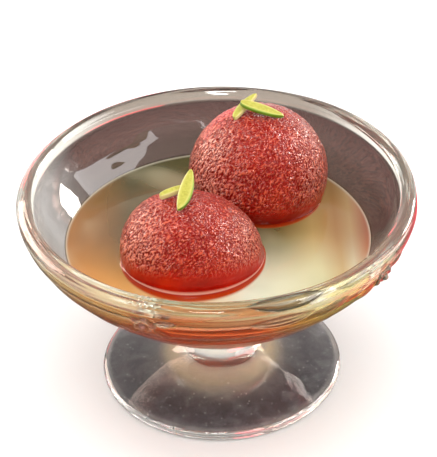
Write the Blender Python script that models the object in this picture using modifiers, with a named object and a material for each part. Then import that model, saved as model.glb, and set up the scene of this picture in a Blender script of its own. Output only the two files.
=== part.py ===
"""Two gulab jamuns in sugar syrup, topped with pistachio slivers, in a footed glass dish.

Metres, +Z up. The origin is the centre of the dish's foot, on the surface that it stands on,
and the dish is seen from -Y.
"""

import math

import bmesh
import bpy
from mathutils import Euler, Matrix, Vector, noise

# Dish
RIM_RADIUS = 0.0600
RIM_LEVEL = 0.0648
LIP_THICKNESS = 0.0052
BOWL_BOTTOM_LEVEL = 0.0240
OUTER_WALL_HANDLES = ((0.0596, 0.0506), (0.0276, 0.0268))
INNER_WALL_HANDLES = ((0.0592, 0.0580), (0.0241, BOWL_BOTTOM_LEVEL))
STEM_TOP = (0.0120, 0.0196)
WAIST = (0.0092, 0.0160)
NECK_HANDLES = ((0.0101, 0.0187), (0.0092, 0.0174))
FOOT_CONE_TOP = (0.0230, 0.0062)
FLARE_HANDLES = ((0.0092, 0.0105), (0.0145, 0.0084))
FOOT_RADIUS = 0.0374
FOOT_EDGE_THICKNESS = 0.0034
FOOT_EDGE_START_DEG = 78
FOOT_RING_INNER_RADIUS = 0.0300
FOOT_HOLLOW_DEPTH = 0.0030
FOOT_HOLLOW_HANDLES = ((0.0250, 0.0016), (0.0120, FOOT_HOLLOW_DEPTH))
TURN_STEPS = 60
WALL_SEGMENTS = 10
LIP_SEGMENTS = 6
NECK_SEGMENTS = 3
FLARE_SEGMENTS = 6
FOOT_EDGE_SEGMENTS = 6
FOOT_HOLLOW_SEGMENTS = 4

# Flowers and leaves pressed into the front of the outer wall, at bearings anticlockwise from +X
FLOWER_BEARINGS_DEG = (-112.0, -36.0)
FLOWER_LEVEL = 0.0590
FLOWER_RADIUS = 0.0040
FLOWER_HALF_HEIGHT = 0.0011
PETALS = 5
PETAL_DEPTH = 0.26
BERRY_RADIUS = 0.0012
BERRY_LIFT = 0.0007
SPRAY_LEAF = (0.0085, 0.0034, 0.0020)
SPRAY_LEAF_REACH = 0.0066
SPRAY_LEAF_TURNS_DEG = (-43.0, -130.0, 14.0)
BAND_LEAVES = (
    {"bearing_deg": -72.5, "level": 0.0603, "size": (0.0210, 0.0052, 0.0020), "turn_deg": 2.0},
    {"bearing_deg": -57.0, "level": 0.0590, "size": (0.0130, 0.0042, 0.0020), "turn_deg": 16.0},
)

# Syrup
SYRUP_LEVEL = 0.0490
GAP = 0.0003
JAMUN_GAP = 0.00035

# Sweets: half width, half depth, and half heights above and below the widest line
FRONT_JAMUN = {
    "centre": (-0.0078, -0.0094, 0.0510),
    "half_sizes": (0.0221, 0.0183, 0.0186, 0.0200),
    "tilt_deg": (-5.0, 24.5, -2.0),
    "seed": 3.0,
}
BACK_JAMUN = {
    "centre": (0.0128, 0.0231, 0.0568),
    "half_sizes": (0.0216, 0.0201, 0.0229, 0.0133),
    "tilt_deg": (1.0, 15.0, 3.0),
    "seed": 11.0,
}
SKIN_UNEVENNESS = 0.009
LUMPS_ACROSS = 1.7

# Slivers: the two tips, then width, thickness, how far the sliver rolls about its length,
# how blunt each tip is, from 0 for pointed to 1 for cut across, and where along it, from -1
# at the first tip to 1 at the second, the skin side bows out most
SLIVERS = {
    "pistachio_sliver_back_under": {
        "tips": ((0.0062, 0.0200, 0.0791), (0.0132, 0.0291, 0.0820)),
        "width": 0.0034,
        "thickness": 0.0013,
        "roll_deg": -6.0,
        "bluntness": (0.7, 0.1),
        "bow_place": -0.10,
    },
    "pistachio_sliver_back_over": {
        "tips": ((0.0211, 0.0206, 0.0791), (0.0081, 0.0236, 0.0831)),
        "width": 0.0041,
        "thickness": 0.0013,
        "roll_deg": -8.0,
        "bluntness": (0.0, 0.8),
        "bow_place": 0.15,
    },
    "pistachio_sliver_front_under": {
        "tips": ((-0.0168, -0.0085, 0.0706), (-0.0090, -0.0051, 0.0714)),
        "width": 0.0026,
        "thickness": 0.0018,
        "roll_deg": 4.0,
        "bluntness": (1.0, 0.8),
        "bow_place": 0.0,
    },
    "pistachio_sliver_front_over": {
        "tips": ((-0.0074, -0.0004, 0.0748), (-0.0116, -0.0154, 0.0708)),
        "width": 0.0046,
        "thickness": 0.0013,
        "roll_deg": -4.0,
        "bluntness": (0.0, 0.0),
        "bow_place": 0.22,
    },
}
SLIVER_EDGE_ROUNDING = 0.00018
SLIVER_BEND_DEG = 14.0
SLIVER_SHARP_DEG = 40.0

# Finishes: colour, roughness, transmission
CLEAR_GLASS = ((0.90, 0.93, 0.90), 0.03, 1.0)
SUGAR_SYRUP = ((0.86, 0.62, 0.26), 0.03, 0.9)
SOAKED_JAMUN = ((0.42, 0.02, 0.01), 0.35, 0.0)
CUT_PISTACHIO = ((0.50, 0.55, 0.08), 0.50, 0.0)


def clear_scene():
    for item in list(bpy.data.objects):
        bpy.data.objects.remove(item, do_unlink=True)


def new_collection(name):
    collection = bpy.data.collections.new(name)
    bpy.context.scene.collection.children.link(collection)
    return collection


def finish(name, values):
    colour, roughness, transmission = values
    material = bpy.data.materials.new(name)
    material.use_nodes = True
    shader = material.node_tree.nodes["Principled BSDF"]
    shader.inputs["Base Color"].default_value = (*colour, 1.0)
    shader.inputs["Roughness"].default_value = roughness
    shader.inputs["Metallic"].default_value = 0.0
    shader.inputs["Transmission Weight"].default_value = transmission
    return material


def add_object(name, mesh, collection, material=None):
    item = bpy.data.objects.new(name, mesh)
    collection.objects.link(item)
    if material:
        mesh.materials.append(material)
    return item


def add_helper(name, mesh, collection):
    """A cutter or a pressed shape, which only a Boolean uses."""
    item = add_object(name, mesh, collection)
    item.hide_render = True
    item.display_type = "WIRE"
    return item


def mesh_from(name, bm):
    mesh = bpy.data.meshes.new(name)
    bm.to_mesh(mesh)
    bm.free()
    mesh.shade_smooth()
    return mesh


def bezier(ends, handles, share):
    """Point and direction at this share of the way along one cubic curve in (radius, height)."""
    a, d = Vector(ends[0]), Vector(ends[1])
    b, c = Vector(handles[0]), Vector(handles[1])
    rest = 1 - share
    point = a * rest**3 + b * 3 * rest**2 * share + c * 3 * rest * share**2 + d * share**3
    along = (b - a) * rest**2 + (c - b) * 2 * rest * share + (d - c) * share**2
    return point, along.normalized()


def bezier_points(ends, handles, segments):
    return [bezier(ends, handles, i / segments)[0] for i in range(segments + 1)]


def arc_points(centre, radius, first_deg, last_deg, segments):
    step = math.radians(last_deg - first_deg) / segments
    turns = [math.radians(first_deg) + step * i for i in range(segments + 1)]
    return [Vector(centre) + Vector((math.cos(turn), math.sin(turn))) * radius for turn in turns]


def outer_wall(share):
    """The bowl's outer wall, from the lip at 0 to the top of the stem at 1."""
    return bezier(((RIM_RADIUS, RIM_LEVEL), STEM_TOP), OUTER_WALL_HANDLES, share)


def inner_wall(share):
    """The bowl's inner wall, from the lip at 0 to the middle of its floor at 1."""
    top = (RIM_RADIUS - LIP_THICKNESS, RIM_LEVEL)
    return bezier((top, (0.0, BOWL_BOTTOM_LEVEL)), INNER_WALL_HANDLES, share)


def turned_mesh_object(name, profile, collection, material):
    """A profile in (radius, height), from the axis over the top and down the outer side, turned."""
    mesh = bpy.data.meshes.new(name)
    vertices = [(point[0], 0.0, point[1]) for point in profile]
    mesh.from_pydata(vertices, [(i, i + 1) for i in range(len(vertices) - 1)], [])
    item = add_object(name, mesh, collection, material)
    screw = item.modifiers.new("turned", "SCREW")
    screw.axis = "Z"
    screw.angle = math.tau
    screw.steps = TURN_STEPS
    screw.render_steps = TURN_STEPS
    screw.use_merge_vertices = True
    screw.merge_threshold = 0.00001
    screw.use_smooth_shade = True
    return item


def dish_profile():
    """From the middle of the bowl's floor, up over the lip and down the outside, under the foot."""
    lip_radius = LIP_THICKNESS / 2
    edge_radius = FOOT_EDGE_THICKNESS / 2
    lip_centre = (RIM_RADIUS - lip_radius, RIM_LEVEL)
    edge_centre = (FOOT_RADIUS - edge_radius, edge_radius)
    hollow_ends = ((FOOT_RING_INNER_RADIUS, 0.0), (0.0, FOOT_HOLLOW_DEPTH))
    inner = [inner_wall(1 - i / WALL_SEGMENTS)[0] for i in range(WALL_SEGMENTS)]
    lip = arc_points(lip_centre, lip_radius, 180, 0, LIP_SEGMENTS)
    outer = [outer_wall(i / WALL_SEGMENTS)[0] for i in range(1, WALL_SEGMENTS + 1)]
    neck = bezier_points((STEM_TOP, WAIST), NECK_HANDLES, NECK_SEGMENTS)
    flare = bezier_points((WAIST, FOOT_CONE_TOP), FLARE_HANDLES, FLARE_SEGMENTS)
    edge = arc_points(edge_centre, edge_radius, FOOT_EDGE_START_DEG, -90, FOOT_EDGE_SEGMENTS)
    hollow = bezier_points(hollow_ends, FOOT_HOLLOW_HANDLES, FOOT_HOLLOW_SEGMENTS)
    return inner + lip + outer + neck[1:] + flare[1:] + edge + hollow


def wall_place(bearing, level):
    """Where the outer wall passes this level, with the ways up the wall and out of it."""
    low, high = 0.0, 1.0
    for _ in range(30):
        middle = (low + high) / 2
        if outer_wall(middle)[0].y > level:
            low = middle
        else:
            high = middle
    point, down = outer_wall(low)
    turn = Matrix.Rotation(bearing, 3, "Z")
    upward = turn @ Vector((-down.x, 0.0, -down.y))
    outward = turn @ Vector((-down.y, 0.0, down.x))
    return turn @ Vector((point.x, 0.0, point.y)), upward, outward


def press(name, bm, bearing_deg, level, turn_deg, reach, collection):
    """Wraps a flat ornament round the outer wall: its X runs anticlockwise, its Z stands out."""
    bearing = math.radians(bearing_deg)
    middle, upward, _ = wall_place(bearing, level)
    turn = Matrix.Rotation(math.radians(turn_deg), 3, "Z")
    for vertex in bm.verts:
        flat = turn @ (vertex.co + Vector((reach, 0.0, 0.0)))
        there = bearing + flat.x / middle.xy.length
        surface, _, outward = wall_place(there, level + flat.y * upward.z)
        vertex.co = surface + outward * flat.z
    add_helper(name, mesh_from(name, bm), collection)


def flower_mesh():
    """A low dome whose outline swells into petals."""
    bm = bmesh.new()
    bmesh.ops.create_uvsphere(bm, u_segments=4 * PETALS, v_segments=6, radius=1.0)
    for vertex in bm.verts:
        petal = 1 - PETAL_DEPTH * (1 - math.cos(PETALS * math.atan2(vertex.co.y, vertex.co.x))) / 2
        vertex.co.x *= FLOWER_RADIUS * petal
        vertex.co.y *= FLOWER_RADIUS * petal
        vertex.co.z *= FLOWER_HALF_HEIGHT
    return bm


def berry_mesh():
    bm = bmesh.new()
    bmesh.ops.create_icosphere(bm, subdivisions=2, radius=BERRY_RADIUS)
    bmesh.ops.translate(bm, vec=(0.0, 0.0, BERRY_LIFT), verts=bm.verts)
    return bm


def leaf_mesh(size):
    """A ball drawn out along X, whose width and height run to a point at both tips."""
    bm = bmesh.new()
    bmesh.ops.create_uvsphere(bm, u_segments=8, v_segments=8, radius=1.0)
    bmesh.ops.rotate(bm, matrix=Matrix.Rotation(math.pi / 2, 3, "Y"), verts=bm.verts)
    for vertex in bm.verts:
        taper = math.sqrt(max(0.0, 1 - vertex.co.x**2))
        vertex.co.y *= taper
        vertex.co.z *= taper
    bmesh.ops.scale(bm, vec=[side / 2 for side in size], verts=bm.verts)
    return bm


def press_ornament(collection):
    for number, bearing_deg in enumerate(FLOWER_BEARINGS_DEG):
        place = (bearing_deg, FLOWER_LEVEL)
        press(f"flower_{number}", flower_mesh(), *place, 0.0, 0.0, collection)
        press(f"berry_{number}", berry_mesh(), *place, 0.0, 0.0, collection)
        for leaf, turn_deg in enumerate(SPRAY_LEAF_TURNS_DEG):
            name = f"spray_leaf_{number}_{leaf}"
            press(name, leaf_mesh(SPRAY_LEAF), *place, turn_deg, SPRAY_LEAF_REACH, collection)
    for number, leaf in enumerate(BAND_LEAVES):
        bm = leaf_mesh(leaf["size"])
        turn_deg = leaf["turn_deg"]
        press(f"band_leaf_{number}", bm, leaf["bearing_deg"], leaf["level"], turn_deg, 0.0, collection)


def build_dish(collection, pressed):
    glass = finish("clear_glass", CLEAR_GLASS)
    dish = turned_mesh_object("dessert_glass", dish_profile(), collection, glass)
    press_ornament(pressed)
    ornament = dish.modifiers.new("pressed ornament", "BOOLEAN")
    ornament.operation = "UNION"
    ornament.solver = "EXACT"
    ornament.operand_type = "COLLECTION"
    ornament.collection = pressed


def jamun_mesh(name, shape, grow):
    """A hand-rolled ball, uneven and a little flattened, grown outwards by this distance."""
    half_width, half_depth, half_up, half_down = shape["half_sizes"]
    tilt = Euler([math.radians(angle) for angle in shape["tilt_deg"]], "XYZ").to_matrix()
    seed = Vector((shape["seed"], 0.0, 0.0))
    bm = bmesh.new()
    bmesh.ops.create_icosphere(bm, subdivisions=4, radius=1.0)
    for vertex in bm.verts:
        way = vertex.co.normalized()
        lumps = 1 + SKIN_UNEVENNESS * noise.noise(way * LUMPS_ACROSS + seed)
        half_height = half_up if way.z > 0 else half_down
        out = Vector((way.x * half_width, way.y * half_depth, way.z * half_height)) * lumps
        vertex.co = tilt @ (out + out.normalized() * grow) + Vector(shape["centre"])
    return mesh_from(name, bm)


def build_jamuns(collection, cutters):
    skin = finish("soaked_jamun", SOAKED_JAMUN)
    for name, shape in (("gulab_jamun_front", FRONT_JAMUN), ("gulab_jamun_back", BACK_JAMUN)):
        add_object(name, jamun_mesh(name, shape, 0.0), collection, skin)
        add_helper(f"{name}_hollow", jamun_mesh(f"{name}_hollow", shape, JAMUN_GAP), cutters)


def syrup_profile():
    """From the middle of the surface out to the wall, then down just inside the wall."""
    below = []
    for i in range(WALL_SEGMENTS + 1):
        point, along = inner_wall(i / WALL_SEGMENTS)
        inset = point + Vector((along.y, -along.x)) * GAP
        below.append(Vector((max(inset.x, 0.0), inset.y)))
    first = next(i for i, point in enumerate(below) if point.y < SYRUP_LEVEL)
    above, under = below[first - 1], below[first]
    shore = above.lerp(under, (above.y - SYRUP_LEVEL) / (above.y - under.y))
    return [Vector((0.0, SYRUP_LEVEL)), shore] + below[first:]


def build_syrup(collection, cutters):
    amber = finish("sugar_syrup", SUGAR_SYRUP)
    syrup = turned_mesh_object("syrup", syrup_profile(), collection, amber)
    hollow = syrup.modifiers.new("hollows for the sweets", "BOOLEAN")
    hollow.operation = "DIFFERENCE"
    hollow.solver = "EXACT"
    hollow.operand_type = "COLLECTION"
    hollow.collection = cutters


def tip_corners(x, width, bluntness):
    """A tip and its two handles, on the skin side and on the cut side."""
    middle = 0.08 * width * bluntness
    skin_reach = (0.16 + 0.34 * bluntness) * width
    cut_reach = (0.08 + 0.26 * bluntness) * width
    return (x, middle), (x, middle + skin_reach), (x, middle - cut_reach)


def sliver_outline(name, length, shape):
    """A slice of a kernel, seen flat: a nearly straight cut side, a bowed skin side and two tips."""
    width = shape["width"]
    curve = bpy.data.curves.new(name, "CURVE")
    curve.dimensions = "2D"
    curve.fill_mode = "BOTH"
    curve.extrude = shape["thickness"] / 2 - SLIVER_EDGE_ROUNDING
    curve.bevel_depth = SLIVER_EDGE_ROUNDING
    curve.bevel_resolution = 0
    curve.resolution_u = 6
    spline = curve.splines.new("BEZIER")
    spline.bezier_points.add(3)
    spline.use_cyclic_u = True
    half = length / 2 - SLIVER_EDGE_ROUNDING
    cut_side = -0.30 * width
    skin_side = 0.62 * width
    bow = shape["bow_place"] * half
    first, first_skin, first_cut = tip_corners(-half, width, shape["bluntness"][0])
    last, last_skin, last_cut = tip_corners(half, width, shape["bluntness"][1])
    corners = (
        (first, first_skin, first_cut),
        ((0.0, cut_side), (-0.55 * half, cut_side), (0.55 * half, cut_side)),
        (last, last_cut, last_skin),
        ((bow, skin_side), (bow + 0.55 * half, skin_side), (bow - 0.55 * half, skin_side)),
    )
    for point, (place, left, right) in zip(spline.bezier_points, corners):
        point.co = (*place, 0.0)
        point.handle_left_type = "FREE"
        point.handle_right_type = "FREE"
        point.handle_left = (*left, 0.0)
        point.handle_right = (*right, 0.0)
    return curve


def build_sliver(name, shape, collection, material):
    tip_a, tip_b = (Vector(tip) for tip in shape["tips"])
    length = (tip_b - tip_a).length
    curve = sliver_outline(name, length, shape)
    guide = bpy.data.objects.new(f"{name}_outline", curve)
    collection.objects.link(guide)
    depsgraph = bpy.context.evaluated_depsgraph_get()
    flat = bpy.data.meshes.new_from_object(guide.evaluated_get(depsgraph))
    bpy.data.objects.remove(guide)
    bm = bmesh.new()
    bm.from_mesh(flat)
    bpy.data.meshes.remove(flat)
    bmesh.ops.remove_doubles(bm, verts=bm.verts, dist=0.00001)
    along = (tip_b - tip_a).normalized()
    side = Vector((0.0, 0.0, 1.0)).cross(along).normalized()
    axes = Matrix((along, side, along.cross(side))).transposed().to_4x4()
    roll = Matrix.Rotation(math.radians(shape["roll_deg"]), 4, "X")
    place = Matrix.Translation((tip_a + tip_b) / 2) @ axes @ roll
    bow = math.radians(SLIVER_BEND_DEG) / length / 2
    for vertex in bm.verts:
        vertex.co.z += bow * ((length / 2) ** 2 - vertex.co.x**2)
        vertex.co = place @ vertex.co
    mesh = mesh_from(name, bm)
    mesh.set_sharp_from_angle(angle=math.radians(SLIVER_SHARP_DEG))
    add_object(name, mesh, collection, material)


def main():
    clear_scene()
    parts = new_collection("gulab_jamun")
    pressed = new_collection("pressed_ornament")
    cutters = new_collection("jamun_hollows")
    build_dish(parts, pressed)
    build_jamuns(parts, cutters)
    build_syrup(parts, cutters)
    pistachio = finish("cut_pistachio", CUT_PISTACHIO)
    for name, shape in SLIVERS.items():
        build_sliver(name, shape, parts, pistachio)


main()
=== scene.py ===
import math

import bmesh
import bpy
import numpy as np
from mathutils import Euler, Matrix, Vector, noise


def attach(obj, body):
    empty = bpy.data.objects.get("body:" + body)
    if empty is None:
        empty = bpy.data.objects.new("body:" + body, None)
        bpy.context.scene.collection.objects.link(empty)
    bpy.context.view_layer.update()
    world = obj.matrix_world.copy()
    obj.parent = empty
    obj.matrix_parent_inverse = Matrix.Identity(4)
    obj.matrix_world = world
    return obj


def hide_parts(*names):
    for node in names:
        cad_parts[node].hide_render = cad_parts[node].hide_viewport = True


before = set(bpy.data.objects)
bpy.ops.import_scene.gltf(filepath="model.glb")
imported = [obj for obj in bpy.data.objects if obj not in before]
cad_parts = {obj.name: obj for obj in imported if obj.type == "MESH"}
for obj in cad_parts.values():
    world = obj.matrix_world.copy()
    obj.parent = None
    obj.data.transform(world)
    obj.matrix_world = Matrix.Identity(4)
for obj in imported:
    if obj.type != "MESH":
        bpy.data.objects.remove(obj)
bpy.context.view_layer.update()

# Two gulab jamuns in sugar syrup, topped with pistachio slivers, in a footed pressed-glass dish.
# Metres, +Z up. The main forms repeat the values of the solids that they stand for.

# Dish
RIM_RADIUS = 0.0600
RIM_LEVEL = 0.0648
LIP_THICKNESS = 0.0052
BOWL_BOTTOM_LEVEL = 0.0240
OUTER_WALL_HANDLES = ((0.0596, 0.0506), (0.0276, 0.0268))
INNER_WALL_HANDLES = ((0.0592, 0.0580), (0.0241, BOWL_BOTTOM_LEVEL))
STEM_TOP = (0.0120, 0.0196)
WAIST = (0.0092, 0.0160)
NECK_HANDLES = ((0.0101, 0.0187), (0.0092, 0.0174))
FOOT_CONE_TOP = (0.0230, 0.0062)
FLARE_HANDLES = ((0.0092, 0.0105), (0.0145, 0.0084))
FOOT_RADIUS = 0.0374
FOOT_EDGE_THICKNESS = 0.0034
FOOT_EDGE_START_DEG = 78
FOOT_RING_INNER_RADIUS = 0.0300
FOOT_HOLLOW_DEPTH = 0.0030
FOOT_HOLLOW_HANDLES = ((0.0250, 0.0016), (0.0120, FOOT_HOLLOW_DEPTH))
DISH_TOP_LEVEL = RIM_LEVEL + LIP_THICKNESS / 2

# Halvings that find the place of a level on the outer wall
LEVEL_HALVINGS = 30

# Rings along each stretch of the dish's profile
INNER_RINGS = 56
LIP_RINGS = 38
OUTER_RINGS = 92
NECK_RINGS = 6
FLARE_RINGS = 12
FOOT_EDGE_RINGS = 12
FOOT_HOLLOW_RINGS = 8
# The power that draws the outer rings together near the lip, where the ornament is
OUTER_RINGS_CROWDING = 1.35
# Rings of the lip that the wall's ornament runs up onto
ORNAMENT_LIP_RINGS = 8

# Stretches round the dish, each from its first bearing to its last and with its own step between
# the columns of the mesh, in degrees: finest where the flowers and the leaves are pressed
COLUMN_STRETCHES_DEG = (
    (-126.0, -98.0, 0.25),
    (-98.0, -84.0, 0.7),
    (-84.0, -28.0, 0.3),
    (-28.0, -14.0, 0.7),
    (-14.0, 234.0, 2.4),
)

# Pressed flowers and leaves on the outer wall, at bearings anticlockwise from +X
FLOWER_BEARINGS_DEG = (-112.0, -36.0)
FLOWER_LEVEL = 0.0590
FLOWER_RADIUS = 0.0040
FLOWER_HALF_HEIGHT = 0.0011
PETALS = 5
PETAL_DEPTH = 0.26
PETAL_VEIN_SPREAD = 0.02
PETAL_VEIN_START = 0.4
BERRY_RADIUS = 0.0012
BERRY_LIFT = 0.0007
# Rims and veins of the petals and leaves, as shares of the way from their middle line to their edge
RIM_PLACE, RIM_WIDTH = 0.76, 0.15
VEIN_WIDTH = 0.13
# Their heights, and that of the dome under them, as shares of a whole form's height
DOME_SHARE, RIM_SHARE, VEIN_SHARE = 0.5, 0.5, 0.35
SPRAY_LEAF = (0.0085, 0.0034, 0.0020)
SPRAY_LEAF_REACH = 0.0066
SPRAY_LEAF_TURNS_DEG = (-43.0, -130.0, 14.0)
BAND_LEAVES = (
    {"bearing_deg": -72.5, "level": 0.0603, "size": (0.0210, 0.0052, 0.0020), "turn_deg": 2.0},
    {"bearing_deg": -57.0, "level": 0.0590, "size": (0.0130, 0.0042, 0.0020), "turn_deg": 16.0},
)

# On the lip, above the flower at the left, short upright flutes; to its right a broad leaf and
# a long thin one, placed by bearing and by the lip's own angle, which is 180 at its inner side
FLUTES = {"bearing_deg": -111.5, "half_spread_deg": 6.5, "step_deg": 1.9, "height": 0.00020}
LIP_LEAVES = (
    {"bearing_deg": -71.5, "lip_deg": 54.0, "size": (0.0230, 0.0048, 0.0007), "turn_deg": -2.0},
    {"bearing_deg": -46.0, "lip_deg": 16.0, "size": (0.0220, 0.0020, 0.0005), "turn_deg": -2.0},
)

# Painted shade on the ornament, for the dark its edges show in the glass: at sides as steep as this it
# is painted darkest, but its rims stay clear, and the leaves on the lip have a painted dark outline and a
# pale vein
STEEPEST = 1.9
RIM_CLEARNESS = 0.8
HOLLOW_SHADE = 0.55
LEAF_OUTLINE_PLACE, LEAF_OUTLINE_WIDTH = 0.85, 0.46
LEAF_SHADE = 0.82
LEAF_VEIN_CLEARNESS, LEAF_VEIN_WIDTH = 0.75, 0.24

# Ripples in the fire-polished glass
RIPPLES = 12
RIPPLE_SEED = 5
LONGEST_RIPPLE = 0.0090
SHORTEST_RIPPLE = 0.0012
RIPPLE_WANDER = 1.6
LIP_RIPPLE = 0.00012
WALL_RIPPLE = 0.00004
RIPPLE_LEVEL = 0.0570
INSIDE_SHARE = 0.2
# None below this level or nearer the middle than this, and full strength from the last radius on
RIPPLE_LOWEST = 0.0012
RIPPLE_INNERMOST = 0.004
RIPPLE_FULL_RADIUS = 0.02

# Syrup
SYRUP_LEVEL = 0.0490
WALL_OVERLAP = 0.00012
SWEET_OVERLAP = 0.00025
WALL_MENISCUS = 0.0007
SWEET_MENISCUS = 0.0010
MENISCUS_REACH = 0.0011
SYRUP_COLUMNS = 300
SYRUP_RINGS = 150
# The power that draws its rings together near the shore, where the surface curves up
SYRUP_RINGS_CROWDING = 1.25
SYRUP_SHARPEST_BEND_DEG = 35
SHORE_DEPTH = 0.0002
# How far out the painted red of a sweet's sunk side reaches behind it, as a share of its reach in front,
# and how it grows
RED_BEHIND = 0.12
RED_GROWTH = 1.5

# Sweets: half width, half depth, and half heights above and below the widest line
FRONT_JAMUN = {
    "centre": (-0.0078, -0.0094, 0.0510),
    "half_sizes": (0.0221, 0.0183, 0.0186, 0.0200),
    "tilt_deg": (-5.0, 24.5, -2.0),
    "seed": 3.0,
    "red_reach": 0.0040,
}
BACK_JAMUN = {
    "centre": (0.0128, 0.0231, 0.0568),
    "half_sizes": (0.0216, 0.0201, 0.0229, 0.0133),
    "tilt_deg": (1.0, 15.0, 3.0),
    "seed": 11.0,
    "red_reach": 0.0020,
}
JAMUNS = (FRONT_JAMUN, BACK_JAMUN)
SKIN_UNEVENNESS = 0.009
LUMPS_ACROSS = 1.7

# Cuts across each side of the cube that a ball is blown up from
SKIN_CUTS = 124
ROOM_CUTS = 47
WATERLINE_CUTS = 30

# The fried skin shrinks as it soaks, into short wrinkles that run down the sides
GRAIN_SIZE = 0.0014
GRAIN_HEIGHT = 0.00016
GRAIN_OFFSET = (7.0, 3.0, 5.0)
WRINKLE_SIZE = 0.0026
WRINKLE_HEIGHT = 0.00017
WRINKLE_STRETCH = 0.62
WRINKLE_WARP = 0.35
WRINKLE_SEED = 7
WRINKLE_SHARPNESS = 2.4
WRINKLE_MEAN = 0.4
# Under the film of syrup only this share of them is left
WET_WRINKLES = 0.2
# The film's height above the syrup, how much more of it there is in front, and where it fades out
FILM_HEIGHT = 0.0025
FILM_SLOPE = 0.0022
FILM_FADE = (-0.0010, 0.0052)

# Slivers
SLIVERS = {
    "pistachio_sliver_back_under": {
        "tips": ((0.0062, 0.0200, 0.0791), (0.0132, 0.0291, 0.0820)),
        "width": 0.0034,
        "thickness": 0.0013,
        "roll_deg": -6.0,
        "bluntness": (0.7, 0.1),
        "bow_place": -0.10,
    },
    "pistachio_sliver_back_over": {
        "tips": ((0.0211, 0.0206, 0.0791), (0.0081, 0.0236, 0.0831)),
        "width": 0.0041,
        "thickness": 0.0013,
        "roll_deg": -8.0,
        "bluntness": (0.0, 0.8),
        "bow_place": 0.15,
    },
    "pistachio_sliver_front_under": {
        "tips": ((-0.0168, -0.0085, 0.0706), (-0.0090, -0.0051, 0.0714)),
        "width": 0.0026,
        "thickness": 0.0018,
        "roll_deg": 4.0,
        "bluntness": (1.0, 0.8),
        "bow_place": 0.0,
    },
    "pistachio_sliver_front_over": {
        "tips": ((-0.0074, -0.0004, 0.0748), (-0.0116, -0.0154, 0.0708)),
        "width": 0.0046,
        "thickness": 0.0013,
        "roll_deg": -4.0,
        "bluntness": (0.0, 0.0),
        "bow_place": 0.22,
    },
}
SLIVER_BEND_DEG = 14.0
# Mesh of a sliver: steps along each half of its outline, and points round it
SLIVER_STEPS = 26
SLIVER_POINTS = 44
# The skin side and the cut side of its outline, as shares of the width, and how long they stay full
SKIN_SIDE, CUT_SIDE = 0.62, -0.30
SIDE_FULLNESS = 0.55
# How far a tip lies towards its skin side, and how far its corners reach, all as shares of the
# width: the corners first at a sharp tip, then how much further at a blunt one
TIP_OFFSET = 0.08
SKIN_CORNER, CUT_CORNER = (0.16, 0.34), (0.08, 0.26)
# The powers that square off a plain ellipse into a rounded oblong
EDGE_SQUARENESS, FACE_SQUARENESS = 0.45, 0.36
TIP_ROUNDING = 0.9
GRIT_SIZE = 0.00055
GRIT_HEIGHT = 0.00003
# Slivers of different widths take their grit from different stretches of the noise
GRIT_STRIDE = 9000

# Sizes of the patterns in the finishes
SMEAR_SIZE = 0.005
SPECK_SPACING = 0.0024
CLOUD_SIZE = 0.026
STROKE_SIZE = 0.00055
STROKE_SLANT_DEG = 35
STROKE_LENGTHENING = 1.9
STROKE_RELIEF = 0.00050
# The middle of a sweet across its width, as the painted sheen of its flanks takes it
SKIN_MIDDLE = 0.54
MOTTLING_SIZE = 0.007
FIBRE_SIZE = 0.0009
FIBRE_RELIEF = 0.00008

# Camera, fitted to the rim, the foot and the bowl's outline
CAMERA_TARGET = (0.000202, 0.0, 0.052767)
CAMERA_DISTANCE = 0.674458
CAMERA_ELEVATION_DEG = 35.434
CAMERA_ROLL_DEG = -1.739
CAMERA_SENSOR = 36.0
CAMERA_LENS = 175.34
CAMERA_NEAREST = 0.01

# The set: its table, and the cloths that lie on it, each with its middle, half sizes and level
TABLE_HALF_SIZE = 3.0
TABLE_LEVEL = -0.0003
CLOTHS = (
    ("dark_cloth_below", (0.0, 0.0), (0.25, 0.25), -0.0002, "#504A40"),
    ("red_cloth_below", (0.105, 0.050), (0.045, 0.100), -0.0001, "#F01040"),
)
# Lamps and cards round the dish: azimuth, elevation, distance, size, radiance and colour
LAMPS_AIM = (0.0, 0.0, 0.05)
LAMPS = (
    ("window_right", 36.0, 13.0, 0.8, (0.26, 0.24), 32.0, "#FFF4EC"),
    ("window_left", 152.0, 14.0, 0.8, (0.70, 0.56), 8.5, "#FFE8D8"),
    ("panel_front_right", -12.0, 32.0, 0.9, (0.95, 0.42), 5.5, "#FFFFFF"),
    ("window_above", -100.0, 62.0, 0.9, (0.20, 0.20), 28.0, "#FFFFFF"),
    ("red_cloth_right", 10.0, 2.0, 0.35, (0.30, 0.08), 6.0, "#D80C30"),
    ("red_cloth_back", 112.0, 0.0, 0.35, (0.20, 0.10), 6.0, "#D80C30"),
    ("soft_ceiling", -60.0, 80.0, 1.3, (2.6, 2.6), 2.15, "#FFFFFF"),
    ("soft_key", 130.0, 50.0, 0.9, (0.34, 0.34), 3.0, "#FFFFFF"),
    ("soft_fill", -95.0, 14.0, 0.9, (0.80, 0.40), 1.3, "#FFFFFF"),
)

# Settings that many nodes share
EASED = {"interpolation_type": "SMOOTHSTEP"}
COLOURS = {"data_type": "RGBA"}
TIMES = {"operation": "MULTIPLY"}


# Small helpers


def linear(colour):
    """An sRGB hex colour as the linear RGBA that a shader takes."""
    channels = [int(colour[i : i + 2], 16) / 255 for i in (1, 3, 5)]
    return (
        *[c / 12.92 if c <= 0.04045 else ((c + 0.055) / 1.055) ** 2.4 for c in channels],
        1.0,
    )


def fill_in(material, node, values=None, links=None):
    """Sets a node's own values and its links. From a whole node comes its first output in use."""
    for socket, value in (values or {}).items():
        node.inputs[socket].default_value = value
    for socket, source in (links or {}).items():
        if isinstance(source, bpy.types.Node):
            source = next(output for output in source.outputs if output.enabled)
        material.node_tree.links.new(source, node.inputs[socket])


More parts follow.
